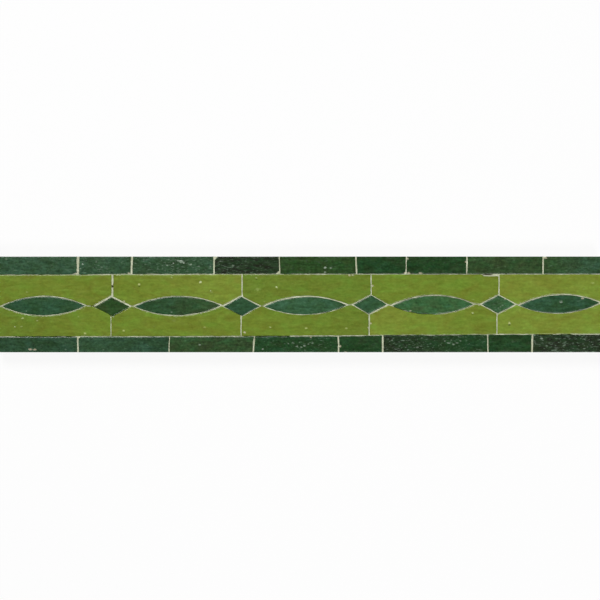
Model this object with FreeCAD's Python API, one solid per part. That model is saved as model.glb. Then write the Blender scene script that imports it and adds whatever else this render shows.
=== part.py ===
"""A border strip of hand-cut glazed mosaic: green lenses and diamonds set in a lime band, with a
running row of green tiles along each long edge, all held in one cast mortar bed that fills the joints.

Frame: origin at the middle of the underside, +X along the strip, +Y towards the top row, +Z out of
the glazed face. Millimetres.
"""
import FreeCAD
import Part
import math
import os

# The strip
STRIP_LENGTH = 457.0
STRIP_WIDTH = 72.8
BED_THICKNESS = 7.0      # mortar under the backs of the tiles
TILE_THICKNESS = 11.0
GROUT_RECESS = 0.4       # how far the wiped joints lie below the glazed faces

# The chiselled edge that every tile has
FLANK_LEAN = 1.2         # a flank leans in by this much from the face to the back
ARRIS = 0.4              # worn bevel round the glazed face

# Joint widths at the face
ROW_JOINT = 1.1          # between neighbours in a border row
RAIL_JOINT = 0.65        # between a border row and the lime band
FIELD_JOINT = 0.95       # between neighbours in the lime band
AXIS_JOINT = 0.6         # between the upper and lower lime tiles, on the pattern's axis
LENS_JOINT = 0.85        # round a lens
DIAMOND_JOINT = 0.85     # round a diamond

# Heights of the two rails above the strip's lower edge, at distances from its left end
UPPER_RAIL = ((0.0, 58.9), (75.0, 59.1), (105.0, 59.4), (457.0, 59.3))
LOWER_RAIL = ((0.0, 11.9), (250.0, 12.3), (310.0, 13.3), (457.0, 13.7))

# Border tiles from the left end: length to the middle of the next joint, how far that joint leans
# along the strip from the rail to the outer edge, and how much wider it is than the others. The last
# tile is cut off at the strip's end.
TOP_ROW = (
    (59.7, 0.0, 0.9), (40.6, 0.7, 0.5), (62.8, 0.0, 0.0), (50.0, -0.4, -0.05), (58.4, -0.6, 0.0),
    (37.5, 0.5, -0.2), (46.3, 0.0, 0.2), (57.9, 0.2, 0.1), (60.0, 0.0, 0.0),
)
BOTTOM_ROW = (
    (59.6, 0.3, 0.0), (69.6, -0.3, -0.2), (64.7, -1.3, 0.2), (63.8, 0.2, 0.0),
    (33.7, 0.0, 0.2), (79.8, 0.3, -0.05), (34.0, -0.2, 0.3), (60.0, 0.0, 0.0),
)
# Corners knocked off border tiles: tile number from 0, corner, size along and across the strip
TOP_CHIPS = (
    (0, "rail_right", 4.6, 1.3),
    (3, "edge_left", 4.0, 2.9),
    (3, "rail_right", 2.6, 2.2),
    (8, "edge_left", 4.2, 1.4),
)
BOTTOM_CHIPS = ((1, "rail_left", 1.6, 1.5),)
# Notches broken out of lime tiles at their right-hand rail corners: tile number, size along and across
UPPER_FIELD_CHIPS = {3: (12.5, 1.3)}
LOWER_FIELD_CHIPS = {}

# The repeating pattern
PITCH = 97.5
FIRST_DIAMOND = 85.8     # from the strip's left end
AXIS_HEIGHT = 35.6       # of the pattern's axis above the strip's lower edge
LENS_LENGTH = 62.6
LENS_WIDTH = 13.7
DIAMOND_LENGTH = 26.2
DIAMOND_WIDTH = 14.0

# How each hand-cut lens and its pocket depart from the pattern: along, across, extra length, extra
# width, tilt in degrees, then the lens's own shift across within its pocket
LENS_LAY = (
    (-3.4, -0.3, 0.3, 0.2, 0.3, 0.0),
    (1.0, -0.3, 2.4, 0.1, 0.6, 0.0),
    (0.7, 0.0, 0.0, -0.6, 0.9, -0.2),
    (-0.1, 0.6, -1.0, -0.1, 1.0, -0.25),
    (-1.1, 1.2, -1.9, -0.2, 1.9, -0.2),
)
# The same for each diamond: along, across, extra length, extra width, how far its upper corner
# leans along the strip, then its own shift across within its pocket
DIAMOND_LAY = (
    (0.0, -0.4, 0.2, 0.3, -0.6, -0.6),
    (0.9, -0.4, 0.8, 0.1, -0.4, -0.3),
    (0.9, 0.6, -0.8, -0.1, 0.8, 0.0),
    (0.8, 0.9, -0.6, -0.5, 0.2, 0.0),
)
# Lime joints above and below each diamond: shift along the strip from the diamond's middle, and how
# much wider the joint is than the others
UPPER_JOINTS = ((0.2, 0.55), (0.3, 0.05), (0.9, 0.05), (0.7, -0.05))
LOWER_JOINTS = ((-1.0, -0.15), (-0.5, -0.05), (-0.6, 0.2), (-0.9, -0.05))

# Levels
BACK_Z = BED_THICKNESS
TOP_Z = BED_THICKNESS + TILE_THICKNESS
SHOULDER_Z = TOP_Z - ARRIS
GROUT_Z = TOP_Z - GROUT_RECESS
OVERRUN = 2 * FLANK_LEAN  # tiles at the rim run past it by this much before the strip is trimmed
LEFT_END = -STRIP_LENGTH / 2
LOWER_EDGE = -STRIP_WIDTH / 2
SHORTEST_END = 2 * ROW_JOINT  # a shorter end tile isn't cut: its neighbour runs on to the strip's end
IN_LINE = 1e-6            # sine of the angle under which two sides count as one line


def level_at(line, x):
    """Height on a line of (distance, height) points, which runs on level past its ends."""
    if x <= line[0][0]:
        return line[0][1]
    for (x0, y0), (x1, y1) in zip(line, line[1:]):
        if x <= x1:
            return y0 + (y1 - y0) * (x - x0) / (x1 - x0)
    return line[-1][1]


def placed(x, y):
    """A point given from the strip's lower left corner, in the part's frame."""
    return (LEFT_END + x, LOWER_EDGE + y)


def grown_polygon(points, grow):
    """The corners of an anticlockwise polygon with every side moved outwards by grow."""
    sides = []
    for (x0, y0), (x1, y1) in zip(points, points[1:] + points[:1]):
        length = math.hypot(x1 - x0, y1 - y0)
        nx, ny = (y1 - y0) / length, (x0 - x1) / length
        sides.append((nx, ny, nx * x0 + ny * y0 + grow))
    corners = []
    for (ax, ay, a), (bx, by, b), (px, py) in zip(sides[-1:] + sides[:-1], sides, points):
        cross = ax * by - ay * bx
        if abs(cross) < IN_LINE:
            corners.append((px + grow * bx, py + grow * by))
        else:
            corners.append(((a * by - b * ay) / cross, (ax * b - bx * a) / cross))
    return corners


def polygon_outline(points):
    """An outline that grows: a function of grow and height that gives a closed wire."""
    def wire(grow, z):
        corners = [FreeCAD.Vector(x, y, z) for x, y in grown_polygon(points, grow)]
        return Part.makePolygon(corners + corners[:1])
    return wire


def lens_outline(x, y, length, width, tilt):
    """The outline of two equal arcs that meet in a point at each end."""
    half, rise = length / 2, width / 2
    radius = (half * half + rise * rise) / (2 * rise)
    centre_drop = radius - rise

    def wire(grow, z):
        tip = math.sqrt((radius + grow) ** 2 - centre_drop ** 2)
        left, right = FreeCAD.Vector(-tip, 0, z), FreeCAD.Vector(tip, 0, z)
        over, under = FreeCAD.Vector(0, rise + grow, z), FreeCAD.Vector(0, -rise - grow, z)
        arcs = [Part.Arc(right, over, left).toShape(), Part.Arc(left, under, right).toShape()]
        outline = Part.Wire(arcs)
        outline.rotate(FreeCAD.Vector(0, 0, 0), FreeCAD.Vector(0, 0, 1), tilt)
        outline.translate(FreeCAD.Vector(x, y, 0))
        return outline
    return wire


def lofted(outline, back, shoulder, top):
    """A solid through the outline grown by these amounts at the back, the shoulder and the face."""
    sections = [outline(back, BACK_Z), outline(shoulder, SHOULDER_Z), outline(top, TOP_Z)]
    return Part.makeLoft(sections, True, True)


def tile(outline):
    """A tile with leaning flanks and a worn bevel round its face."""
    return lofted(outline, -FLANK_LEAN, 0.0, -ARRIS)


def pocket(outline, joint):
    """The room that a neighbour's chiselled edge leaves round an inset and its joint."""
    return lofted(outline, joint + FLANK_LEAN, joint, joint + ARRIS)


def block(height):
    """The strip's own outline, raised to a height."""
    return Part.makeBox(STRIP_LENGTH, STRIP_WIDTH, height, FreeCAD.Vector(LEFT_END, LOWER_EDGE, 0))


class Inset:
    """A lens or a diamond: its pocket's outline, its own outline and the pocket's two tips."""

    def __init__(self, outline_at, x, y, reach, rise, drop, joint):
        self.x = x
        self.y = y
        self.left_tip = (x - reach, y - rise)
        self.right_tip = (x + reach, y + rise)
        self.solid = tile(outline_at(x, y + drop))
        self.pocket = pocket(outline_at(x, y), joint)


def make_lens(number):
    along, across, longer, wider, tilt, drop = LENS_LAY[number % len(LENS_LAY)]
    x, y = placed(FIRST_DIAMOND + (number - 0.5) * PITCH + along, AXIS_HEIGHT + across)
    length, width = LENS_LENGTH + longer, LENS_WIDTH + wider
    reach = length / 2 * math.cos(math.radians(tilt))
    rise = length / 2 * math.sin(math.radians(tilt))
    return Inset(lambda u, v: lens_outline(u, v, length, width, tilt), x, y, reach, rise, drop, LENS_JOINT)


def make_diamond(number):
    along, across, longer, wider, lean, drop = DIAMOND_LAY[number % len(DIAMOND_LAY)]
    x, y = placed(FIRST_DIAMOND + number * PITCH + along, AXIS_HEIGHT + across)
    half, rise = (DIAMOND_LENGTH + longer) / 2, (DIAMOND_WIDTH + wider) / 2

    def outline(u, v):
        return polygon_outline([(u - half, v), (u - lean, v - rise), (u + half, v), (u + lean, v + rise)])
    return Inset(outline, x, y, half, 0.0, drop, DIAMOND_JOINT)


def field_tile(side, rail, start, end, lens, diamonds, chip):
    """A lime tile above (side 1) or below (side -1) the axis, from start to end, round its insets."""
    def rail_side(x):
        return (x, placed(0, level_at(rail, x - LEFT_END))[1] - side * RAIL_JOINT / 2)

    before, after = diamonds
    inner = [(start, before.y if before else lens.left_tip[1])]
    inner += [before.right_tip] if before else []
    inner += [lens.left_tip, lens.right_tip]
    inner += [after.left_tip] if after else []
    inner += [(end, after.y if after else lens.right_tip[1])]
    inner = [(x, y + side * AXIS_JOINT / 2) for x, y in inner if start <= x <= end]
    corner = rail_side(end)
    outer = [corner, rail_side(start)]
    if chip:
        along, across = chip
        floor = corner[1] - side * across
        outer = [(end, floor), (end - along + across, floor), rail_side(end - along), rail_side(start)]
    points = inner + outer if side > 0 else outer[::-1] + inner[::-1]
    room = [inset.pocket for inset in (before, lens, after) if inset]
    return tile(polygon_outline(points)).cut(room)


def make_fields(side, rail, joints, lenses, diamonds, chips):
    middles = [(LEFT_END - OVERRUN, 0.0)]
    for number, diamond in enumerate(diamonds):
        shift, wider = joints[number % len(joints)]
        middles.append((diamond.x + shift, FIELD_JOINT + wider))
    middles.append((LEFT_END + STRIP_LENGTH + OVERRUN, 0.0))
    neighbours = [None] + diamonds + [None]
    tiles = []
    for number, lens in enumerate(lenses):
        (left, left_joint), (right, right_joint) = middles[number:number + 2]
        start, end = left + left_joint / 2, right - right_joint / 2
        around = neighbours[number:number + 2]
        tiles.append(field_tile(side, rail, start, end, lens, around, chips.get(number)))
    return tiles


def make_row(side, rail, row, chips):
    """Border tiles laid from the left end until the strip is full."""
    tiles = []
    edge = placed(0, STRIP_WIDTH if side > 0 else 0)[1] + side * OVERRUN
    x, lean, joint = -OVERRUN, 0.0, 0.0
    while x < STRIP_LENGTH:
        number = len(tiles)
        length, next_lean, wider = row[number % len(row)]
        end, next_joint = max(x, 0.0) + length, ROW_JOINT + wider
        if end + SHORTEST_END > STRIP_LENGTH:
            end, next_lean, next_joint = STRIP_LENGTH + OVERRUN, 0.0, 0.0
        start, stop = x + joint / 2, end - next_joint / 2
        rail_left, rail_right = (level_at(rail, u) + side * RAIL_JOINT / 2 for u in (start, stop))
        corners = {
            "rail_left": placed(start, rail_left),
            "rail_right": placed(stop, rail_right),
            "edge_right": (placed(stop + next_lean, 0)[0], edge),
            "edge_left": (placed(start + lean, 0)[0], edge),
        }
        points = chipped(corners, side, [c[1:] for c in chips if c[0] == number])
        tiles.append(tile(polygon_outline(points if side > 0 else points[::-1])))
        x, lean, joint = end, next_lean, next_joint
    return tiles


def chipped(corners, side, chips):
    """The corners in order round the tile, each knocked-off one replaced by the two ends of its break."""
    sizes = {name: (along, across) for name, along, across in chips}
    points = []
    for name, (x, y) in corners.items():
        if name not in sizes:
            points.append((x, y))
            continue
        along, across = sizes[name]
        inward_x = along if name.endswith("left") else -along
        inward_y = side * (across if name.startswith("rail") else -across - OVERRUN)
        beside, beyond = (x + inward_x, y), (x, y + inward_y)
        clockwise_first = name in ("rail_left", "edge_right")
        points += [beyond, beside] if clockwise_first else [beside, beyond]
    return points


def main():
    count = math.floor((STRIP_LENGTH - FIRST_DIAMOND) / PITCH) + 1
    diamonds = [make_diamond(n) for n in range(count)]
    lenses = [make_lens(n) for n in range(count + 1)]
    families = {
        "top_border_tile": make_row(1, UPPER_RAIL, TOP_ROW, TOP_CHIPS),
        "upper_field_tile": make_fields(
            1, UPPER_RAIL, UPPER_JOINTS, lenses, diamonds, UPPER_FIELD_CHIPS),
        "lens_tile": [lens.solid for lens in lenses],
        "diamond_tile": [diamond.solid for diamond in diamonds],
        "lower_field_tile": make_fields(
            -1, LOWER_RAIL, LOWER_JOINTS, lenses, diamonds, LOWER_FIELD_CHIPS),
        "bottom_border_tile": make_row(-1, LOWER_RAIL, BOTTOM_ROW, BOTTOM_CHIPS),
    }
    whole = block(TOP_Z)
    pieces = {}
    for family, solids in families.items():
        for number, solid in enumerate(solids, 1):
            pieces[f"{family}_{number}"] = solid.common(whole)
    pieces["mortar_bed"] = block(GROUT_Z).cut(list(pieces.values()))
    os.makedirs("parts", exist_ok=True)
    for name, shape in pieces.items():
        print(name, len(shape.Solids), shape.isValid(), round(shape.Volume, 1))
        shape.exportStep(f"parts/{name}.step")


main()
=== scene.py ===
import bmesh
import bpy
import math
import random
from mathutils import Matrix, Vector, kdtree, noise


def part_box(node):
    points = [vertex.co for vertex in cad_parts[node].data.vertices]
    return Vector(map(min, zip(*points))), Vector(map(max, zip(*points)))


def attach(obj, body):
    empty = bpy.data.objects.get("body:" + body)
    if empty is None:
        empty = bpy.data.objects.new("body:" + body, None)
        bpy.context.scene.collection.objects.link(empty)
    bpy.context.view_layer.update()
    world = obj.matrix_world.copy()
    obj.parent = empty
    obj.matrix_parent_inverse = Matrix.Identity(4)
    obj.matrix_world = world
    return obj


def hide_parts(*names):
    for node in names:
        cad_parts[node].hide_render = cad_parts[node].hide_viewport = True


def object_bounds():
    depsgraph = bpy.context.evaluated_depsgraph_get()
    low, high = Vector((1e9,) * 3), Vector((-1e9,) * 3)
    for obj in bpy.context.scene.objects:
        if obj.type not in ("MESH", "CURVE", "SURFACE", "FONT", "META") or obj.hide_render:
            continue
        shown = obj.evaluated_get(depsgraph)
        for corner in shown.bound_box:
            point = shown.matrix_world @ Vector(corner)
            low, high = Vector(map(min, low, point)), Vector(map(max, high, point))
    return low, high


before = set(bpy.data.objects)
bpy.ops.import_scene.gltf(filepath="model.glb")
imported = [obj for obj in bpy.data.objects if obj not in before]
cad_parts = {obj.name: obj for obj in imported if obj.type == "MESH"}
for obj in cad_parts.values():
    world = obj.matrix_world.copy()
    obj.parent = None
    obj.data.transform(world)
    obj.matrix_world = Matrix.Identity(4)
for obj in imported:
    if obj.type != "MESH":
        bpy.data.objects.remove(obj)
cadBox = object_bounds()

mm = 0.001
stripLow, stripHigh = cadBox
stripLength = stripHigh.x - stripLow.x
faceZ = stripHigh.z                   # level of the glazed faces
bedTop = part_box("lens_tile_1")[0].z   # level of the mortar that the tiles stand on
scene = bpy.context.scene


def linear(hexColour):
    parts = [int(hexColour[i:i + 2], 16) / 255 for i in (1, 3, 5)]
    parts = [c / 12.92 if c <= 0.04045 else ((c + 0.055) / 1.055) ** 2.4 for c in parts]
    return (*parts, 1.0)


def smooth(share):
    share = min(max(share, 0.0), 1.0)
    return share * share * (3 - 2 * share)


def between(low, high, share):
    return low + (high - low) * share


def fromCorner(x, y):                 # millimetres from the strip's lower left corner
    return Vector((stripLow.x + x * mm, stripLow.y + y * mm, 0))


def fromRim(point, axis):             # distance to the nearer of the two sides across an axis
    return min(point[axis] - stripLow[axis], stripHigh[axis] - point[axis])


# Camera: straight down on the strip, which fills the picture from side to side
camera = {
    "lens": 180.0,                    # long, so that the flanks stay out of sight
    "sensor": 36.0,
    "pictureSide": 600,               # pixels
    "overrun": 0.7,                   # pixels of the strip past each side of the picture
    "stripRow": 304.4,                # pixel row of the strip's middle
}


def placeCamera():
    data = bpy.data.cameras.new("photoCamera")
    data.lens = camera["lens"]
    data.sensor_width = camera["sensor"]
    eye = bpy.data.objects.new("photoCamera", data)
    scene.collection.objects.link(eye)
    pixel = stripLength / (camera["pictureSide"] + 2 * camera["overrun"])
    away = pixel * camera["pictureSide"] * camera["lens"] / camera["sensor"]
    eye.location = (0, (camera["stripRow"] - camera["pictureSide"] / 2) * pixel, faceZ + away)
    scene.camera = eye


placeCamera()
print("camera placed")


# Materials
noiseSpan = {"From Min": 0.3, "From Max": 0.7}    # noise seldom strays past these
sameHue = 0.5                         # where the hue node leaves the colour alone
tileTraits = ("batch", "worn", "sooty", "speckled", "chipped")    # they differ by tile and by spot


def addNode(tree, kind, settings=None, links=None):
    node = tree.nodes.new("ShaderNode" + kind)
    for key, value in (settings or {}).items():
        if isinstance(key, int) or key in node.inputs:
            node.inputs[key].default_value = value
        else:
            setattr(node, key, value)
    for key, socket in (links or {}).items():
        tree.links.new(socket, node.inputs[key])
    return node


def newMaterial(name):
    material = bpy.data.materials.new(name)
    material.use_nodes = True
    material.node_tree.nodes.clear()
    return material, material.node_tree


clayBody = {
    "pale": "#ccc3a8",                # buff clay, as it is where the chisel or the saw opened it
    "dark": "#a99a7a",
    "fleck": "#7d6446",               # burnt specks
    # mm long, mm high; the saw left lines along the sides
    "grain": {"grain": (0.7, 0.7), "cloud": (9.0, 4.0), "saw": (25.0, 0.4), "burnt": (1.1, 1.1)},
    "detail": 4.0,
    "paleFrom": (0.75, 1.25),         # where the sum of grain and cloud is dark, and where it is pale
    "burntFrom": (0.66, 0.72),        # where in its pattern a burnt speck begins, and where it is full
    "roughness": 0.9,
    "glazeDepth": 0.75,               # mm that the glaze reaches down over the edge
    "glazeEdge": 0.15,                # mm over which it thins out there
    "glazeRun": 0.5,                  # mm that it runs further down here and there
}


def glazeColour(tree, hand, grain, look):
    # slow patches, streaks along the pour and fine mottling
    # the tone also holds the painted shadows below lumps of grit
    tone = addNode(tree, "Attribute", {"attribute_name": "glazeTone"}).outputs["Color"]
    shade = None
    for pattern, depth in look["depth"].items():
        spread = {**noiseSpan, "To Min": 1 - depth, "To Max": 1 + depth, "clamp": False}
        part = addNode(tree, "MapRange", spread, {"Value": grain[pattern]}).outputs[0]
        if shade:
            part = addNode(tree, "Math", {"operation": "MULTIPLY"}, {0: shade, 1: part}).outputs[0]
        shade = part
    turn = {**noiseSpan, "To Min": sameHue - look["hueTurn"], "To Max": sameHue + look["hueTurn"]}
    hue = addNode(tree, "MapRange", turn, {"Value": grain["patch"]}).outputs[0]
    glaze = addNode(tree, "HueSaturation", None, {"Color": tone, "Hue": hue, "Value": shade}).outputs[0]

    # soot in the glaze, then worn flecks, then grit
    for pattern, trait, colour in (("blotch", "sooty", "soot"), ("fleck", "worn", "paleFleck")):
        settings = {"operation": "MULTIPLY_ADD", 1: look[trait]["spread"]}
        share = addNode(tree, "Math", settings, {0: hand[trait], 2: grain[pattern]}).outputs[0]
        low, high = look[trait]["from"], look[trait]["full"]
        settings = {"From Min": low, "From Max": high, "To Max": look[trait]["most"]}
        share = addNode(tree, "MapRange", settings, {"Value": share}).outputs[0]
        settings = {"operation": "MULTIPLY", "use_clamp": True, 1: look[trait]["gain"]}
        amount = addNode(tree, "Math", settings, {0: hand[trait]}).outputs[0]
        share = addNode(tree, "Math", {"operation": "MULTIPLY"}, {0: share, 1: amount}).outputs[0]
        over = {"data_type": "RGBA", 7: linear(look[colour])}
        glaze = addNode(tree, "Mix", over, {0: share, 6: glaze}).outputs[2]
    over = {"data_type": "RGBA", 7: linear(look["grit"])}
    return addNode(tree, "Mix", over, {0: hand["speckled"], 6: glaze}).outputs[2]


def clayColour(tree, body):
    links = {0: body["grain"], 1: body["cloud"]}
    blend = addNode(tree, "Math", {"operation": "ADD"}, links).outputs[0]
    dark, pale = clayBody["paleFrom"]
    blend = addNode(tree, "MapRange", {"From Min": dark, "From Max": pale}, {"Value": blend}).outputs[0]
    ends = {"data_type": "RGBA", 6: linear(clayBody["dark"]), 7: linear(clayBody["pale"])}
    clay = addNode(tree, "Mix", ends, {0: blend}).outputs[2]
    low, high = clayBody["burntFrom"]
    settings = {"From Min": low, "From Max": high}
    burnt = addNode(tree, "MapRange", settings, {"Value": body["burnt"]}).outputs[0]
    over = {"data_type": "RGBA", 7: linear(clayBody["fleck"])}
    return addNode(tree, "Mix", over, {0: burnt, 6: clay}).outputs[2]


def bareShare(tree, place, body, chipped):
    # clay shows below the glaze line and in the chips
    height = addNode(tree, "SeparateXYZ", None, {0: place}).outputs["Z"]
    settings = {"operation": "MULTIPLY_ADD", 1: clayBody["glazeRun"] * mm}
    height = addNode(tree, "Math", settings, {0: body["cloud"], 2: height}).outputs[0]
    line = faceZ - clayBody["glazeDepth"] * mm
    fade = {"From Min": line - clayBody["glazeEdge"] * mm, "From Max": line, "To Min": 1.0, "To Max": 0.0}
    bare = addNode(tree, "MapRange", fade, {"Value": height}).outputs[0]
    return addNode(tree, "Math", {"operation": "MAXIMUM"}, {0: bare, 1: chipped}).outputs[0]


def glazedClay(name, look):
    # Lead glaze poured on hand-cut buff clay: deep wet colour that pools and streaks, a soft gloss,
    # pale flecks where it is worn, and dull clay on the sawn and broken edges
    material, tree = newMaterial(name)
    place = addNode(tree, "TexCoord").outputs["Object"]
    hand = {}
    for trait in tileTraits:
        hand[trait] = addNode(tree, "Attribute", {"attribute_name": trait}).outputs["Fac"]
    grain = {}
    for pattern, (long, wide, detail) in look["grain"].items():
        stretch = (1 / (long * mm), 1 / (wide * mm), 1 / (wide * mm))
        drawn = addNode(tree, "Mapping", {"Scale": stretch}, {"Vector": place}).outputs[0]
        settings = {"noise_dimensions": "4D", "Scale": 1.0, "Detail": detail, "Distortion": look["warp"]}
        links = {"Vector": drawn, "W": hand["batch"]}
        grain[pattern] = addNode(tree, "TexNoise", settings, links).outputs["Fac"]
    body = {}
    for pattern, (long, high) in clayBody["grain"].items():
        stretch = (1 / (long * mm), 1 / (long * mm), 1 / (high * mm))
        drawn = addNode(tree, "Mapping", {"Scale": stretch}, {"Vector": place}).outputs[0]
        settings = {"Scale": 1.0, "Detail": clayBody["detail"]}
        body[pattern] = addNode(tree, "TexNoise", settings, {"Vector": drawn}).outputs["Fac"]

    glaze = glazeColour(tree, hand, grain, look)
    clay = clayColour(tree, body)
    bare = bareShare(tree, place, body, hand["chipped"])
    colour = addNode(tree, "Mix", {"data_type": "RGBA"}, {0: bare, 6: glaze, 7: clay}).outputs[2]
    glossy, dull = look["roughness"]
    settings = {**noiseSpan, "To Min": glossy, "To Max": dull}
    gloss = addNode(tree, "MapRange", settings, {"Value": grain["streak"]}).outputs[0]
    links = {"Value": bare, "To Min": gloss}
    rough = addNode(tree, "MapRange", {"To Max": clayBody["roughness"]}, links).outputs[0]
    relief = addNode(tree, "Mix", None, {0: bare, 2: grain["mottle"], 3: body["saw"]}).outputs[0]
    settings = {"Strength": look["ripple"], "Distance": look["rippleHeight"] * mm}
    bump = addNode(tree, "Bump", settings, {"Height": relief}).outputs[0]
    links = {"Base Color": colour, "Roughness": rough, "Normal": bump}
    shader = addNode(tree, "BsdfPrincipled", {"IOR": look["ior"]}, links).outputs[0]
    addNode(tree, "OutputMaterial", None, {"Surface": shader})
    return material


# Mesh tools
meshwork = {
    "weld": 0.002,                    # mm within which the solid's loose corners are one
    "sliceRoom": 0.01,                # mm within which a slice keeps to a corner that is there already
    "wallTilt": 0.6,                  # a wall is a face whose normal rises or falls by less than this
    "crisp": 40.0,                    # degrees of turn from which an edge stays crisp
    "ragged": ((1.0, 0.9), (0.5, 0.35)),    # strength and length of a spot's raggedness, in radii
    "raggedDepth": 0.45,              # how far that moves the spot's outline, in radii
}


def cadCopy(nodeName):
    bm = bmesh.new()
    bm.from_mesh(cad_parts[nodeName].data)
    bmesh.ops.remove_doubles(bm, verts=bm.verts, dist=meshwork["weld"] * mm)
    bm.normal_update()
    return bm


def cutsBetween(low, high, step):
    return [n * step for n in range(math.ceil(low / step), math.floor(high / step) + 1)]


def sliceFaces(bm, faces, axis, cuts):
    # the run of cuts is halved each time, so a cut meets only the faces near it
    if not cuts or not faces:
        return faces
    middle = len(cuts) // 2
    across = Vector((0, 0, 0))
    across[axis] = 1
    parts = dict.fromkeys(faces)
    for face in faces:
        parts.update(dict.fromkeys(face.edges))
        parts.update(dict.fromkeys(face.verts))
    made = bmesh.ops.bisect_plane(
        bm, geom=list(parts), dist=meshwork["sliceRoom"] * mm,
        plane_co=across * cuts[middle], plane_no=across)
    halves = ([], [])
    for part in made["geom"]:
        if isinstance(part, bmesh.types.BMFace):
            halves[part.calc_center_median()[axis] > cuts[middle]].append(part)
    before = sliceFaces(bm, halves[0], axis, cuts[:middle])
    return before + sliceFaces(bm, halves[1], axis, cuts[middle + 1:])


def gridFaces(bm, faces, step, axes=(0, 1)):
    for axis in axes:
        if faces:
            low = min(v.co[axis] for f in faces for v in f.verts)
            high = max(v.co[axis] for f in faces for v in f.verts)
            faces = sliceFaces(bm, faces, axis, cutsBetween(low, high, step))
    bm.normal_update()
    return faces


def placeTree(places):
    tree = kdtree.KDTree(len(places))
    for n, place in enumerate(places):
        tree.insert(place, n)
    tree.balance()
    return tree


def vertTree(bm):
    bm.verts.index_update()
    bm.verts.ensure_lookup_table()
    return placeTree([v.co for v in bm.verts])


def refineNear(bm, faces, spots, cuts):
    # smaller faces round each spot, given as its middle and how far it reaches
    tree = vertTree(bm)
    chosen = set(faces)
    edges = {}
    for middle, reach in spots:
        for _, index, _ in tree.find_range(middle, reach):
            for face in bm.verts[index].link_faces:
                if face in chosen:
                    edges.update(dict.fromkeys(face.edges))
    if edges:
        bmesh.ops.subdivide_edges(bm, edges=list(edges), cuts=cuts, use_grid_fill=True)
    bm.normal_update()


def splitWalls(bm):
    # walls of many corners are split while they are flat, so that none folds over below a ragged edge
    walls = [f for f in bm.faces if abs(f.normal.z) < meshwork["wallTilt"] and len(f.verts) > 4]
    bmesh.ops.triangulate(bm, faces=walls, quad_method="BEAUTY", ngon_method="BEAUTY")
    bm.normal_update()


def raggedShare(point, middle, radius, stretch):
    # about 1 in the middle of a spot, 0 past its ragged outline
    gap = point - middle
    gap.x /= stretch
    gap.z = 0
    ragged = 0
    for strength, length in meshwork["ragged"]:
        ragged += strength * noise.noise(point / (length * radius))
    return max(0.0, 1 - gap.length / radius + meshwork["raggedDepth"] * ragged)


def addPiece(bm, name, material, nodeName):
    spare = [v for v in bm.verts if len(v.link_edges) == 2]     # points along a side, where no face ends
    bmesh.ops.dissolve_verts(bm, verts=spare)
    mesh = bpy.data.meshes.new(name)
    bm.to_mesh(mesh)
    bm.free()
    mesh.shade_smooth()
    mesh.set_sharp_from_angle(angle=math.radians(meshwork["crisp"]))
    piece = bpy.data.objects.new(name, mesh)
    scene.collection.objects.link(piece)
    mesh.materials.append(material)
    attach(piece, "root")
    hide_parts(nodeName)


# Tiles: each starts as a copy of its cut solid and gets the unevenness of hand work
tileForm = {
    "firstSeed": 39,                  # of the first tile's unevenness, the next tile has the next one
    "shuffle": 90,                    # how far apart the tiles' patterns may start
    "flatTurn": 0.5,                  # degrees of turn up to which the solid's triangles are one face
    "level": 0.999,                   # the glazed face's normal rises by more than this
    "steep": 0.2,                     # a flank's normal rises by less than this
    "grid": 0.5,                      # mm between the slices over a glazed face and along its edge
    "roll": 0.18,                     # mm of rounding where the face turns down
    "rollSteps": 3,
    "uneven": 1.0,                    # mm from the top down to where the tile stays as it was cut
    "settle": 0.2,                    # mm that the faces lie below the highest point
    "crown": 0.1,                     # mm that a face falls away at its edges
    "crownPower": 4,                  # the higher, the nearer to the edges it does so
    "waves": ((0.06, 12.0), (0.02, 3.5)),   # height and length of the uneven glaze, mm
    "tilt": 0.06,                     # mm that a hand-laid tile's edge stands up or down
    "wander": ((0.2, 6.0), (0.08, 1.6)),    # mm that the chiselled outline strays, over what length
    "wanderSeed": 2,                  # without one it would differ from run to run
    "grow": 0.14,                     # mm that the glaze rounds out over the arris
    "growAcross": 0.07,               # mm more of it on the edges that run along the strip
    "growWaves": ((0.12, 9.0), (0.08, 2.2)),
    "axisRoom": 2.0,                  # mm from the pattern's axis within which there is less of it
    "axisGrow": 0.3,                  # how much of it is left on the axis
    "rimRoom": 3.0,                   # mm from the sawn rim within which the outline is held
    "toneDrift": 8.0,                 # mm, how raggedly one tone passes into the other
    "toneStray": 0.25,                # how far that goes, as a share of the tile's length
}

# greens as they came out of the kiln
glazeTones = {
    "sea": "#315036",
    "shore": "#2e4c30",
    "pine": "#29472e",
    "bottle": "#1e401d",
    "leaf": "#304a27",
    "moss": "#29451d",
    "soot": "#22361d",
    "jade": "#2a4d30",
    "fern": "#315535",
    "grass": "#375e35",
    "lime": "#6e822a",
    "freshLime": "#687d29",
    "paleLime": "#788a31",
}


def faceSides(bm):
    # the edges round the glazed face
    level = tileForm["level"]
    return [
        e for e in bm.edges
        if len(e.link_faces) == 2 and sum(f.normal.z > level for f in e.link_faces) == 1]


def rollEdges(bm):
    # the glaze turns down softly all round the face
    bmesh.ops.bevel(
        bm, geom=faceSides(bm), offset=tileForm["roll"] * mm, affect="EDGES",
        segments=tileForm["rollSteps"], profile=0.5, material=-1, clamp_overlap=True)
    bm.normal_update()


def downTheEdge(edge):
    # from a side of the face, the edges that lie level below it, down to the flank
    column = [edge]
    face = next((f for f in edge.link_faces if f.normal.z < tileForm["level"]), None)
    while face and len(face.verts) == 4 and face.normal.z > tileForm["steep"]:
        below = [e for e in face.edges if not set(e.verts) & set(column[-1].verts)]
        column += below
        face = next((f for f in below[0].link_faces if f is not face), None)
    return column


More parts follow.
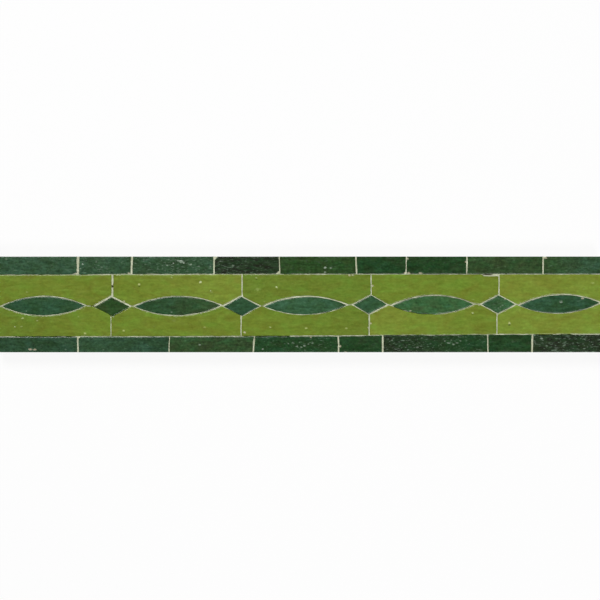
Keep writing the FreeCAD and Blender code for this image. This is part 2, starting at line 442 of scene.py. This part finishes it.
def splitEdges(bm, step):
    # the rolled edge is cut across into even lengths
    for column in [downTheEdge(e) for e in faceSides(bm)]:
        cuts = round(column[0].calc_length() / step) - 1
        if cuts > 0:
            bmesh.ops.subdivide_edges(bm, edges=column, cuts=cuts)
    bm.normal_update()


def arrisDirections(bm):
    # for each corner of the sloping edge round the face, which way is out
    outward = {}
    for vert in bm.verts:
        normals = [f.normal for f in vert.link_faces]
        slopes = [n for n in normals if tileForm["steep"] < n.z < tileForm["level"]]
        if slopes:
            out = sum(slopes, Vector((0, 0, 0)))
            out.z = 0
            outward[vert] = out.normalized()
    return outward


def faceDrop(point, x, y, tilt, offset):
    # mm below the strip's top, where x and y go from -1 to 1 over the tile
    drop = tileForm["settle"] + tileForm["crown"] * max(abs(x), abs(y)) ** tileForm["crownPower"]
    drop += tileForm["tilt"] * (tilt[0] * x + tilt[1] * y)
    for height, length in tileForm["waves"]:
        drop += height * noise.noise(point / (length * mm) + offset)
    return drop


def faceStray(point, outward, offset):
    # the outline wanders and the glaze rounds out over the arris, but not across the sawn rim
    stray = Vector((0, 0, 0))
    for strayBy, length in tileForm["wander"]:
        stray += noise.noise_vector(point / (length * mm) + offset) * (strayBy * mm)
    if outward is not None:
        grow = tileForm["grow"] + tileForm["growAcross"] * abs(outward.y)
        for growBy, length in tileForm["growWaves"]:
            grow += growBy * noise.noise(point / (length * mm) + offset)
        grow *= between(tileForm["axisGrow"], 1, smooth(abs(point.y) / (tileForm["axisRoom"] * mm)))
        stray += outward * (grow * mm)
    for axis in (0, 1):
        stray[axis] *= smooth(fromRim(point, axis) / (tileForm["rimRoom"] * mm))
    return stray


# Spots on the tiles: nicks and chips in the edges, and specks of grit
spotForm = {
    "refineReach": 2.0,               # radii round a spot within which the faces are made smaller
    "refineCuts": 2,
    "nickEvery": 700.0,               # mm of outline for each small nick
    "nickRadius": (0.3, 0.6),         # mm
    "nickStretch": (1.0, 2.0),        # along the strip
    "nickReach": 2.0,                 # radii that a nick or chip may take in
    "nickDepth": 0.3,                 # mm
    "nickSlope": 1.6,                 # the higher, the steeper its sides
    "nickBare": 0.6,                  # how far it goes through the glaze to the clay
    "bareSlope": 3.0,                 # the higher, the sharper the edge of the clay
    "speckReach": 4.0,                # radii that a speck and the painted shadow below it may take in
    "speckStretch": 1.6,              # specks lie along the pour
    "speckSlope": 1.5,
    "speckFade": 2.0,                 # the higher, the less the faint specks show beside the pale ones
    "paintedShadowBelow": 1.5,                 # radii from a lump down to the painted shadow below it
    "paintedShadowDepth": 1.3,                 # how much darker that is, for each mm of the lump's rise
    "paintedShadowMost": 0.7,
}


def spotsOn(low, high, spots):
    # the listed spots of a family that lie on one tile
    placed = [(fromCorner(*spot[:2]) + Vector((0, 0, high.z)), *spot[2:]) for spot in spots]
    return [s for s in placed if low.x < s[0].x < high.x and low.y < s[0].y < high.y]


def nicksOn(bm, low, high, family, rng):
    nicks = spotsOn(low, high, family["chips"])
    ring = list(arrisDirections(bm))
    outline = 2 * (high.x - low.x + high.y - low.y) / mm
    for _ in range(round(outline / spotForm["nickEvery"] + rng.random() - 0.5)):
        corner = rng.choice(ring).co
        radius = rng.uniform(*spotForm["nickRadius"])
        stretch = rng.uniform(*spotForm["nickStretch"])
        nicks.append((Vector((corner.x, corner.y, high.z)), radius, stretch))
    return nicks


def stampNicks(bm, tree, nicks, chipped):
    # nicks and chips lose their glaze
    for middle, radius, stretch in nicks:
        for place, index, _ in tree.find_range(middle, spotForm["nickReach"] * radius * stretch * mm):
            vert = bm.verts[index]
            share = raggedShare(place, middle, radius * mm, stretch)
            vert.co.z -= spotForm["nickDepth"] * smooth(spotForm["nickSlope"] * share) * mm
            bare = spotForm["nickBare"] * smooth(spotForm["bareSlope"] * share)
            vert[chipped] = max(vert[chipped], bare)


def stampSpecks(bm, tree, specks, top, speckled, tones):
    # specks stand up, but not past the tile's top, and a painted shadow darkens the glaze tone below a
    # lump
    stretch, slope = spotForm["speckStretch"], spotForm["speckSlope"]
    for middle, radius, rise, paleness in specks:
        paleness **= spotForm["speckFade"]
        paintedShadowMiddle = middle - Vector((0, spotForm["paintedShadowBelow"] * radius * mm, 0))
        paintedShadowShare = min(spotForm["paintedShadowMost"], spotForm["paintedShadowDepth"] * rise)
        for place, index, _ in tree.find_range(middle, spotForm["speckReach"] * radius * mm):
            vert = bm.verts[index]
            share = smooth(slope * raggedShare(place, middle, radius * mm, stretch))
            vert.co.z = min(vert.co.z + rise * share * mm, top)
            vert[speckled] = max(vert[speckled], paleness * share)
            # painted shadow: the glaze tone is darkened below the lump, where its shade falls
            share = smooth(slope * raggedShare(place, paintedShadowMiddle, radius * mm, stretch))
            vert[tones] = Vector(vert[tones]) * (1 - paintedShadowShare * share)


def makeTile(nodeName, family, material, seed):
    rng = random.Random(seed)
    offset = Vector([rng.uniform(0, tileForm["shuffle"]) for _ in range(3)])
    batch = rng.uniform(0, tileForm["shuffle"])
    tilt = rng.uniform(-1, 1), rng.uniform(-1, 1)
    leftTone, rightTone, wear, soot = family["firing"][nodeName]
    leftTone, rightTone = (Vector(linear(glazeTones[t])) for t in (leftTone, rightTone))
    low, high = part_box(nodeName)
    step = tileForm["grid"] * mm
    bm = cadCopy(nodeName)
    tones = bm.verts.layers.float_color.new("glazeTone")
    traits = {trait: bm.verts.layers.float.new(trait) for trait in tileTraits}
    flat = math.radians(tileForm["flatTurn"])
    bmesh.ops.dissolve_limit(bm, angle_limit=flat, verts=bm.verts, edges=bm.edges)
    rollEdges(bm)
    splitEdges(bm, step)
    gridFaces(bm, [f for f in bm.faces if f.normal.z > tileForm["level"]], step)
    nicks = nicksOn(bm, low, high, family, rng)
    specks = spotsOn(low, high, family["specks"])
    glazed = [f for f in bm.faces if f.normal.z > tileForm["steep"]]
    spots = [(s[0], spotForm["refineReach"] * s[1] * mm) for s in nicks + specks]
    refineNear(bm, glazed, spots, spotForm["refineCuts"])
    splitWalls(bm)

    tree = vertTree(bm)
    outward = arrisDirections(bm)
    for vert in bm.verts:
        point = vert.co.copy()
        u = (point.x - low.x) / (high.x - low.x)
        v = (point.y - low.y) / (high.y - low.y)
        drift = noise.noise(point / (tileForm["toneDrift"] * mm) + offset)
        share = smooth(u + tileForm["toneStray"] * drift)
        vert[tones] = leftTone.lerp(rightTone, share)
        vert[traits["batch"]] = batch
        vert[traits["worn"]] = between(*wear, share)
        vert[traits["sooty"]] = between(*soot, share)
        if point.z >= high.z - tileForm["uneven"] * mm:
            drop = faceDrop(point, 2 * u - 1, 2 * v - 1, tilt, offset)
            stray = faceStray(point, outward.get(vert), offset)
            vert.co = (point.x + stray.x, point.y + stray.y, point.z - drop * mm)
    top = max(v.co.z for v in bm.verts)
    stampNicks(bm, tree, nicks, traits["chipped"])
    stampSpecks(bm, tree, specks, top, traits["speckled"], tones)
    addPiece(bm, nodeName + "_glazed", material, nodeName)


# Border rows: for each tile the tone at its left and right end, wear and soot at both ends
borderTiles = {
    "slot": "border_green_glaze",
    "firing": {
        "top_border_tile_1": ("sea", "sea", (0.2, 0.2), (0, 0)),
        "top_border_tile_2": ("shore", "shore", (0.4, 0.2), (0, 0)),
        "top_border_tile_3": ("shore", "shore", (0.5, 0.45), (0.1, 0.1)),
        "top_border_tile_4": ("soot", "soot", (0.4, 0.2), (0.7, 0.7)),
        "top_border_tile_5": ("moss", "moss", (0.15, 0.15), (0.1, 0.1)),
        "top_border_tile_6": ("bottle", "bottle", (0.1, 0.1), (0, 0.1)),
        "top_border_tile_7": ("bottle", "bottle", (0.1, 0.1), (0, 0)),
        "top_border_tile_8": ("leaf", "leaf", (0.15, 0.15), (0.1, 0.1)),
        "top_border_tile_9": ("leaf", "sea", (0.15, 0.25), (0, 0)),
        "bottom_border_tile_1": ("pine", "pine", (0.1, 0.2), (0, 0)),
        "bottom_border_tile_2": ("sea", "pine", (0.1, 0.1), (0, 0)),
        "bottom_border_tile_3": ("leaf", "leaf", (0.1, 0.1), (0.1, 0.2)),
        "bottom_border_tile_4": ("bottle", "bottle", (0.2, 0.4), (0.1, 0)),
        "bottom_border_tile_5": ("bottle", "bottle", (0.1, 0.1), (0, 0)),
        "bottom_border_tile_6": ("soot", "bottle", (0.5, 0.3), (0.7, 0)),
        "bottom_border_tile_7": ("bottle", "bottle", (0.1, 0.1), (0, 0)),
        "bottom_border_tile_8": ("soot", "soot", (0.5, 0.6), (0.7, 0.6)),
    },
    # grit and worn spots: place from the lower left corner, radius, rise, all mm, then paleness
    "specks": (
        (5.5, 70.9, 0.9, 0.0, 0.4), (63.4, 66.8, 0.7, 0.1, 0.7), (61.6, 63.7, 0.6, 0.0, 0.6),
        (92.9, 68.0, 0.5, 0.0, 0.4), (83.6, 60.9, 0.5, 0.0, 0.4), (111.0, 66.8, 0.5, 0.0, 0.4),
        (127.4, 66.2, 0.6, 0.0, 0.7), (133.6, 70.2, 0.5, 0.0, 0.5), (138.3, 68.8, 1.3, 0.1, 0.7),
        (145.7, 66.6, 0.7, 0.0, 0.7), (167.8, 69.1, 0.6, 0.0, 0.5), (177.6, 65.8, 0.9, 0.0, 0.5),
        (247.6, 64.4, 0.9, 0.1, 0.8), (251.8, 64.0, 0.8, 0.1, 0.6), (247.6, 60.9, 0.7, 0.0, 0.7),
        (50.3, 2.2, 0.6, 0.0, 0.4), (79.1, 2.0, 0.5, 0.0, 0.4), (112.6, 5.1, 0.5, 0.0, 0.3),
        (152.3, 5.8, 0.8, 0.0, 0.6), (200.2, 2.4, 0.7, 0.0, 0.7), (223.2, 7.1, 1.0, 0.0, 0.4),
        (298.4, 9.1, 0.8, 0.0, 0.5), (317.7, 3.8, 0.8, 0.0, 0.5), (412.0, 10.4, 0.9, 0.0, 0.6),
        (219.5, 6.6, 0.6, 0.0, 0.5), (222.8, 7.4, 0.5, 0.0, 0.5), (226.0, 4.6, 0.8, 0.0, 0.6),
        (229.5, 3.9, 0.7, 0.0, 0.6), (232.0, 4.9, 0.9, 0.0, 0.6), (235.0, 6.2, 0.6, 0.0, 0.5),
        (238.0, 7.1, 0.8, 0.0, 0.5), (228.0, 7.6, 0.5, 0.0, 0.5), (338.5, 8.6, 0.7, 0.0, 0.5),
        (341.5, 7.0, 0.9, 0.0, 0.6), (345.0, 6.0, 0.8, 0.0, 0.6), (348.0, 7.2, 0.7, 0.0, 0.5),
        (350.5, 8.8, 0.7, 0.0, 0.5), (343.5, 9.3, 0.5, 0.0, 0.5), (136.0, 69.7, 0.8, 0.0, 0.6),
        (140.1, 67.8, 0.7, 0.0, 0.8), (160.2, 65.2, 0.7, 0.0, 0.5), (132.3, 67.7, 0.5, 0.0, 0.8),
    ),
    # spots where the clay shows: place and radius in mm, stretch along the strip
    "chips": (
        (23.6, 2.4, 0.9, 1.6), (26.8, 2.2, 0.9, 1.6), (98.4, 60.1, 0.7, 1.2), (308.4, 60.3, 0.7, 1.5),
        (310.2, 71.2, 0.7, 1.0), (311.2, 60.3, 0.8, 1.5), (320.0, 60.2, 0.8, 2.0), (354.3, 68.7, 0.8, 1.0),
        (259.0, 4.7, 0.9, 1.0), (414.7, 72.0, 1.1, 1.8),
    ),
}
borderLook = {
    # mm long, mm wide, detail
    "grain": {
        "patch": (9.0, 5.0, 2.0),
        "streak": (7.0, 1.5, 3.0),
        "mottle": (1.9, 1.5, 3.0),
        "blotch": (6.0, 1.6, 4.0),
        "fleck": (2.4, 0.9, 3.0),
    },
    "warp": 0.4,                      # how far the streaks stray from straight
    "depth": {"patch": 0.2, "streak": 0.2, "mottle": 0.36},    # change of light
    "hueTurn": 0.025,
    # where in its pattern it begins and is full, how a dirtier tile gets more of it, and the most of it
    "sooty": {"from": 0.46, "full": 0.62, "spread": 0.0, "gain": 1.0, "most": 1.0},
    "worn": {"from": 0.6, "full": 0.75, "spread": 0.08, "gain": 1.8, "most": 0.7},
    "soot": "#1a1711",
    "paleFleck": "#7e937f",
    "grit": "#b4c4b0",
    "ior": 1.52,
    "roughness": (0.14, 0.26),
    "ripple": 0.15,
    "rippleHeight": 0.1,              # mm
}

# Lime band
fieldTiles = {
    "slot": "lime_glaze",
    "firing": {
        "upper_field_tile_1": ("lime", "lime", (0.05, 0.05), (0, 0)),
        "upper_field_tile_2": ("lime", "paleLime", (0.05, 0.05), (0, 0)),
        "upper_field_tile_3": ("freshLime", "freshLime", (0.08, 0.05), (0, 0)),
        "upper_field_tile_4": ("lime", "lime", (0.05, 0.05), (0, 0)),
        "upper_field_tile_5": ("paleLime", "paleLime", (0.05, 0.05), (0, 0)),
        "lower_field_tile_1": ("freshLime", "lime", (0.08, 0.05), (0, 0)),
        "lower_field_tile_2": ("lime", "lime", (0.05, 0.05), (0, 0)),
        "lower_field_tile_3": ("lime", "freshLime", (0.05, 0.05), (0, 0)),
        "lower_field_tile_4": ("paleLime", "lime", (0.05, 0.05), (0, 0)),
        "lower_field_tile_5": ("paleLime", "paleLime", (0.05, 0.05), (0, 0)),
    },
    "specks": (
        (106.2, 51.6, 0.9, 0.4, 0.9), (152.6, 53.1, 0.8, 0.2, 0.8), (131.0, 56.7, 0.6, 0.1, 0.5),
        (160.9, 45.8, 0.9, 0.1, 0.3), (195.5, 56.3, 0.7, 0.4, 0.4), (210.4, 49.3, 0.7, 0.1, 0.8),
        (196.2, 47.7, 1.6, 0.0, 0.45), (201.3, 38.5, 0.5, 0.0, 0.5), (21.1, 45.5, 0.8, 0.1, 0.4),
        (102.7, 48.7, 0.5, 0.0, 0.3), (17.7, 25.8, 0.7, 0.15, 0.7), (28.8, 24.1, 0.6, 0.1, 0.5),
        (16.8, 19.6, 0.7, 0.15, 0.6), (11.7, 18.9, 0.6, 0.1, 0.5), (60.1, 27.1, 0.6, 0.1, 0.5),
        (65.1, 14.2, 0.9, 0.15, 0.8), (94.5, 16.5, 0.8, 0.15, 0.8), (132.8, 24.0, 1.4, 0.0, 0.3),
        (156.0, 19.0, 0.8, 0.1, 0.5), (117.5, 19.7, 0.6, 0.1, 0.3), (205.9, 19.1, 0.7, 0.1, 0.7),
        (233.0, 18.1, 0.9, 0.1, 0.7), (263.7, 18.2, 0.8, 0.1, 0.6), (387.7, 22.2, 0.9, 0.4, 0.8),
        (359.5, 30.2, 0.8, 0.2, 0.6), (360.1, 40.0, 0.6, 0.3, 0.3), (451.0, 52.7, 1.0, 0.1, 0.5),
        (444.4, 48.1, 0.5, 0.0, 0.4),
    ),
    "chips": (
        (186.5, 15.3, 0.8, 1.2), (280.5, 18.7, 0.8, 1.0), (282.4, 22.1, 0.7, 1.0), (266.0, 58.6, 0.8, 1.5),
        (268.4, 58.6, 0.7, 1.0),
    ),
}
limeLook = {
    **borderLook,
    "grain": {
        **borderLook["grain"],
        "patch": (14.0, 7.0, 2.0),
        "streak": (10.0, 2.2, 3.0),
        "mottle": (2.6, 1.8, 3.0),
        "fleck": (3.0, 1.4, 2.0),
    },
    "warp": 0.8,
    "depth": {"patch": 0.13, "streak": 0.11, "mottle": 0.13},
    "hueTurn": 0.018,
    "paleFleck": "#a9b568",
    "grit": "#c6ce86",
    "roughness": (0.12, 0.24),
}

# Lenses and diamonds
insetTiles = {
    "slot": "inset_green_glaze",
    "firing": {
        "lens_tile_1": ("jade", "jade", (0.1, 0.1), (0, 0)),
        "lens_tile_2": ("jade", "leaf", (0.1, 0.1), (0, 0)),
        "lens_tile_3": ("fern", "fern", (0.1, 0.1), (0, 0)),
        "lens_tile_4": ("grass", "grass", (0.1, 0.1), (0, 0)),
        "lens_tile_5": ("jade", "jade", (0.1, 0.2), (0, 0)),
        "diamond_tile_1": ("moss", "moss", (0.05, 0.05), (0, 0)),
        "diamond_tile_2": ("jade", "jade", (0.1, 0.1), (0, 0)),
        "diamond_tile_3": ("fern", "fern", (0.1, 0.1), (0, 0)),
        "diamond_tile_4": ("fern", "grass", (0.3, 0.3), (0, 0)),
    },
    "specks": (
        (20.6, 31.4, 0.5, 0.0, 0.5), (130.9, 30.5, 0.6, 0.0, 0.5), (426.9, 38.5, 1.1, 0.1, 0.5),
        (379.3, 33.6, 0.5, 0.0, 0.5), (380.9, 34.6, 0.5, 0.0, 0.5), (382.6, 35.7, 0.5, 0.0, 0.5),
    ),
    "chips": ((443.2, 41.0, 0.7, 1.8),),
}
insetLook = {
    **borderLook,
    "depth": {"patch": 0.18, "streak": 0.2, "mottle": 0.28},
}

noise.seed_set(tileForm["wanderSeed"])
seed = tileForm["firstSeed"]
for family, look, materialName in (
    (borderTiles, borderLook, "bottleGreenGlaze"),
    (fieldTiles, limeLook, "limeGreenGlaze"),
    (insetTiles, insetLook, "copperGreenGlaze"),
):
    glaze = glazedClay(materialName, look)
    for nodeName in family["firing"]:
        makeTile(nodeName, family, glaze, seed)
        seed += 1
    print(materialName, "on", len(family["firing"]), "tiles")


# Mortar: one pour, proud and starved by turns in the joints, cast against boards at the sides and back
mortar = {
    "pointing": ("#a4a98a", "#d2d6ba"),     # in its hollows and on its crests
    "bed": ("#9b9484", "#c9c2b1"),
    "bedFade": 4.0,                   # mm over which one passes into the other
    # painted shade in the starved joints and the pinhole
    "paintedShade": "#3a3526",
    "grain": {"cloud": 5.0, "sand": 0.6},   # mm
    "detail": 4.0,
    "paleFrom": (0.15, 0.35),         # where the product of both is dark, and where it is pale
    "roughness": 0.92,
    "bumpStrength": 0.5,
    "bumpHeight": 0.2,                # mm
    "touch": 0.05,                    # mm within which a face is on a board or at the joints' level
    "level": 0.9,                     # a joint's normal rises by more than this
    "grid": 0.5,                      # mm between the slices over the joints
    "lap": 0.35,                      # mm that the pointing runs in under the arrises
    "settle": 0.25,                   # mm below the cut joint's level
    "waves": ((0.12, 5.0), (0.06, 1.2)),    # height and length, mm
    # joints with little or no grout: corner to corner and depth in mm, how dark the painted shade in them
    # is
    "starved": (
        (68.6, 33.9, 73.0, 36.9, 1.5, 0.9), (73.0, 26.5, 98.0, 34.9, 0.8, 0.85),
        (299.5, 25.5, 330.0, 34.6, 0.8, 0.85), (24.0, 9.5, 58.5, 14.0, 0.6, 0.9),
        (11.0, 9.5, 24.0, 14.0, 0.3, 0.4), (185.5, 10.0, 221.0, 14.5, 0.7, 0.95),
        (292.5, 11.0, 306.0, 15.0, 0.7, 0.8), (407.5, 12.0, 421.0, 16.0, 0.4, 0.7),
        (426.0, 12.0, 435.0, 16.0, 0.4, 0.6), (367.0, 58.1, 375.2, 61.5, 0.8, 1.0),
        (174.0, 27.5, 184.0, 34.5, 0.4, 0.5), (0.0, 57.8, 74.0, 62.0, 0.1, 0.35),
        (312.0, 57.8, 367.0, 62.0, 0.15, 0.4), (302.0, 36.2, 358.0, 45.0, 0.15, 0.35),
    ),
    "starvedFade": 1.0,               # mm over which that begins
    "patchy": (0.8, 4.0),             # how full it is on the whole, and the length in mm of its patches
    # the pinhole is also painted fully dark as shade
    "pinhole": (86.1, 50.1, 1.3, 2.5),      # place, radius and depth, mm
    "pinholeSlope": 1.5,              # the higher, the steeper its sides
    "boardGrid": 1.5,                 # mm between the slices over the cast sides and back
    "boardWaves": ((0.12, 18.0), (0.1, 2.5)),
    "boardRise": 0.5,                 # how far those lie inside the board on the whole, in their heights
    "bubbles": 140,
    "bubbleSeed": 7,
    "bubbleRadius": (0.7, 2.0),       # mm
    "bubbleDepth": 0.7,               # for each mm of its radius
    "bubbleReach": 1.3,               # radii within which the faces are made smaller
    "bubbleCuts": 2,
}


def castMortar():
    # Lime and white sand: matt and chalky, cloudy, with a grain of sand, with painted shade where it is
    # low
    material, tree = newMaterial("limeMortar")
    place = addNode(tree, "TexCoord").outputs["Object"]
    starved = addNode(tree, "Attribute", {"attribute_name": "starved"}).outputs["Fac"]
    grain = {}
    for pattern, size in mortar["grain"].items():
        settings = {"Scale": 1 / (size * mm), "Detail": mortar["detail"]}
        grain[pattern] = addNode(tree, "TexNoise", settings, {"Vector": place}).outputs["Fac"]
    links = {0: grain["cloud"], 1: grain["sand"]}
    blend = addNode(tree, "Math", {"operation": "MULTIPLY"}, links).outputs[0]
    low, high = mortar["paleFrom"]
    share = addNode(tree, "MapRange", {"From Min": low, "From Max": high}, {"Value": blend}).outputs[0]
    height = addNode(tree, "SeparateXYZ", None, {0: place}).outputs["Z"]
    settings = {"From Min": bedTop, "From Max": bedTop + mortar["bedFade"] * mm}
    pointed = addNode(tree, "MapRange", settings, {"Value": height}).outputs[0]
    layers = []
    for colours in ("bed", "pointing"):
        dark, pale = mortar[colours]
        ends = {"data_type": "RGBA", 6: linear(dark), 7: linear(pale)}
        layers.append(addNode(tree, "Mix", ends, {0: share}).outputs[2])
    links = {0: pointed, 6: layers[0], 7: layers[1]}
    body = addNode(tree, "Mix", {"data_type": "RGBA"}, links).outputs[2]
    # painted shade over the starved joints and the pinhole
    shadedOver = {"data_type": "RGBA", 7: linear(mortar["paintedShade"])}
    body = addNode(tree, "Mix", shadedOver, {0: starved, 6: body}).outputs[2]
    settings = {"Strength": mortar["bumpStrength"], "Distance": mortar["bumpHeight"] * mm}
    bump = addNode(tree, "Bump", settings, {"Height": grain["sand"]}).outputs[0]
    links = {"Base Color": body, "Normal": bump}
    shader = addNode(tree, "BsdfPrincipled", {"Roughness": mortar["roughness"]}, links).outputs[0]
    addNode(tree, "OutputMaterial", None, {"Surface": shader})
    return material


def onBoard(point, axis):             # one of the two boards across an axis
    return fromRim(point, axis) < mortar["touch"] * mm


def castFaces(bm):
    # faces on the boards: ends, long sides and back, each with the axis across it
    found = {0: [], 1: [], 2: []}
    for face in bm.faces:
        middle = face.calc_center_median()
        for axis in (0, 1):
            if onBoard(middle, axis):
                found[axis].append(face)
        if middle.z < stripLow.z + mortar["touch"] * mm:
            found[2].append(face)
    return found


def lapUnderTiles(joints):
    # the pointing's edges run in under the arrises, but not past the sawn rim
    moves = {}
    for vert in dict.fromkeys(v for f in joints for v in f.verts):
        walls = [f.normal for f in vert.link_faces if abs(f.normal.z) < meshwork["wallTilt"]]
        out = sum(walls, Vector((0, 0, 0)))
        out.z = 0
        for axis in (0, 1):
            if onBoard(vert.co, axis):
                out[axis] = 0
        if out.length > 0:
            moves[vert] = out.normalized() * (mortar["lap"] * mm)
    for vert, move in moves.items():
        vert.co += move


def groutAt(point, boxes):
    # how far the pointing lies below its cut level, in mm, and how much painted shade it gets
    drop = mortar["settle"]
    for height, length in mortar["waves"]:
        drop += height * noise.noise(point / (length * mm))
    full, length = mortar["patchy"]
    patchy = min(1, full + noise.noise(point / (length * mm)))
    shadeShare = 0.0
    for low, high, deep, dark in boxes:
        room = min(point.x - low.x, high.x - point.x, point.y - low.y, high.y - point.y)
        amount = max(smooth(room / (mortar["starvedFade"] * mm)) * patchy, 0)
        drop += deep * amount
        shadeShare = max(shadeShare, dark * amount)
    x, y, radius, deep = mortar["pinhole"]
    gap = (point.xy - fromCorner(x, y).xy).length
    near = smooth(mortar["pinholeSlope"] * (1 - gap / (radius * mm)))
    # the pinhole is painted in full shade
    return drop + deep * near, max(shadeShare, near)


def airBubbles():
    # middle and radius of each: every other one is on a long side, the rest are on the back
    rng = random.Random(mortar["bubbleSeed"])
    bubbles = []
    for n in range(mortar["bubbles"]):
        x = between(stripLow.x, stripHigh.x, rng.random())
        y = between(stripLow.y, stripHigh.y, rng.random())
        place = Vector((x, y, stripLow.z))
        if n % 2:
            place.y = rng.choice((stripLow.y, stripHigh.y))
            place.z = between(stripLow.z, bedTop, rng.random())
        bubbles.append((place, rng.uniform(*mortar["bubbleRadius"]) * mm))
    return bubbles


def boardDepth(point, tree, bubbles):
    # how far the mortar lies inside the board
    depth = 0
    for height, length in mortar["boardWaves"]:
        depth += height * (mortar["boardRise"] + noise.noise(point / (length * mm)))
    depth = max(depth, 0) * mm
    largest = mortar["bubbleRadius"][1] * mm
    for _, n, gap in tree.find_range(point, largest):
        radius = bubbles[n][1]
        depth += mortar["bubbleDepth"] * radius * math.sqrt(max(0, 1 - (gap / radius) ** 2))
    return depth


def roughenBoards(bm):
    # bubbles and slow waves that the boards leave on the cast faces, all of it inwards
    bubbles = airBubbles()
    cast = [f for faces in castFaces(bm).values() for f in faces]
    spots = [(place, mortar["bubbleReach"] * radius) for place, radius in bubbles]
    refineNear(bm, cast, spots, mortar["bubbleCuts"])
    tree = placeTree([place for place, _ in bubbles])
    moves = {}
    for axis, faces in castFaces(bm).items():
        middle = (stripLow[axis] + stripHigh[axis]) / 2
        for vert in dict.fromkeys(v for f in faces for v in f.verts):
            inward = Vector((0, 0, 0))
            inward[axis] = 1 if vert.co[axis] < middle else -1
            move = inward * boardDepth(vert.co, tree, bubbles)
            moves[vert] = moves.get(vert, Vector((0, 0, 0))) + move
    for vert, move in moves.items():
        vert.co += move


def makeMortar(material):
    bm = cadCopy("mortar_bed")
    starved = bm.verts.layers.float.new("starved")
    for axis in (0, 1, 2):
        boards = castFaces(bm)
        along = [f for across in boards if across != axis for f in boards[across]]
        gridFaces(bm, along, mortar["boardGrid"] * mm, [axis])
    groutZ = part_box("mortar_bed")[1].z - mortar["touch"] * mm
    raised = [f for f in bm.faces if f.calc_center_median().z > groutZ]
    joints = [f for f in raised if f.normal.z > mortar["level"]]
    lapUnderTiles(joints)
    joints = gridFaces(bm, joints, mortar["grid"] * mm)
    splitWalls(bm)
    boxes = []
    for x0, y0, x1, y1, deep, dark in mortar["starved"]:
        boxes.append((fromCorner(x0, y0), fromCorner(x1, y1), deep, dark))
    for vert in dict.fromkeys(v for f in joints for v in f.verts):
        drop, vert[starved] = groutAt(vert.co, boxes)
        vert.co.z -= drop * mm
    roughenBoards(bm)
    addPiece(bm, "mortar_bed_cast", material, "mortar_bed")


makeMortar(castMortar())
print("mortar cast")


# Studio: wide pale floor, two soft lamps well up at the sides, and a sky that dims overhead
studio = {
    "radius": 30.0,                   # m
    "floorSides": 96,
    "floor": "#f4f4f4",
    "plainWhite": 0.88,               # how much of the floor that is seen is plain white, with no shadow
    "skyLow": 1.0,                    # brightness at the horizon
    "skyHigh": 0.05,                  # and overhead
    "skyFall": 5.0,                   # the higher, the sooner it dims
    # place and side in m, watts
    "lamps": {
        "keyLamp": ((-0.35, 0.95, 1.7), 0.7, 25.5),
        "fillLamp": ((0.45, -0.9, 1.65), 0.7, 16.0),
    },
}


def layFloor():
    material, tree = newMaterial("paleFloor")
    rays = addNode(tree, "LightPath").outputs
    seen = rays["Is Camera Ray"]
    for kind in ("Is Glossy Ray", "Is Transmission Ray"):
        seen = addNode(tree, "Math", {"operation": "MAXIMUM"}, {0: seen, 1: rays[kind]}).outputs[0]
    seen = addNode(tree, "Math", {"operation": "MULTIPLY", 1: studio["plainWhite"]}, {0: seen}).outputs[0]
    plain = addNode(tree, "BsdfDiffuse", {"Color": linear(studio["floor"])}).outputs[0]
    white = addNode(tree, "Emission", {"Strength": 1.0}).outputs[0]
    both = addNode(tree, "MixShader", None, {0: seen, 1: plain, 2: white}).outputs[0]
    addNode(tree, "OutputMaterial", None, {"Surface": both})
    bm = bmesh.new()
    bmesh.ops.create_circle(bm, cap_ends=True, radius=studio["radius"], segments=studio["floorSides"])
    mesh = bpy.data.meshes.new("floor")
    bm.to_mesh(mesh)
    bm.free()
    mesh.materials.append(material)
    floor = bpy.data.objects.new("floor", mesh)
    scene.collection.objects.link(floor)


def lightStudio():
    for name, (place, size, watts) in studio["lamps"].items():
        data = bpy.data.lights.new(name, "AREA")
        data.size = size
        data.energy = watts
        lamp = bpy.data.objects.new(name, data)
        scene.collection.objects.link(lamp)
        lamp.location = place
        lamp.rotation_euler = Vector(place).to_track_quat("Z", "Y").to_euler()
        lamp.visible_camera = False
    world = bpy.data.worlds.new("studioSky")
    world.use_nodes = True
    tree = world.node_tree
    tree.nodes.clear()
    upward = addNode(tree, "TexCoord").outputs["Generated"]
    upward = addNode(tree, "SeparateXYZ", None, {0: upward}).outputs["Z"]
    settings = {"operation": "SUBTRACT", "use_clamp": True, 0: 1.0}
    fall = addNode(tree, "Math", settings, {1: upward}).outputs[0]
    fall = addNode(tree, "Math", {"operation": "POWER", 1: studio["skyFall"]}, {0: fall}).outputs[0]
    settings = {"To Min": studio["skyHigh"], "To Max": studio["skyLow"]}
    strength = addNode(tree, "MapRange", settings, {"Value": fall}).outputs[0]
    sky = addNode(tree, "Background", {"Color": (1, 1, 1, 1)}, {"Strength": strength}).outputs[0]
    addNode(tree, "OutputWorld", None, {"Surface": sky})
    scene.world = world


layFloor()
lightStudio()
scene.view_settings.view_transform = "Standard"
print("studio lit")
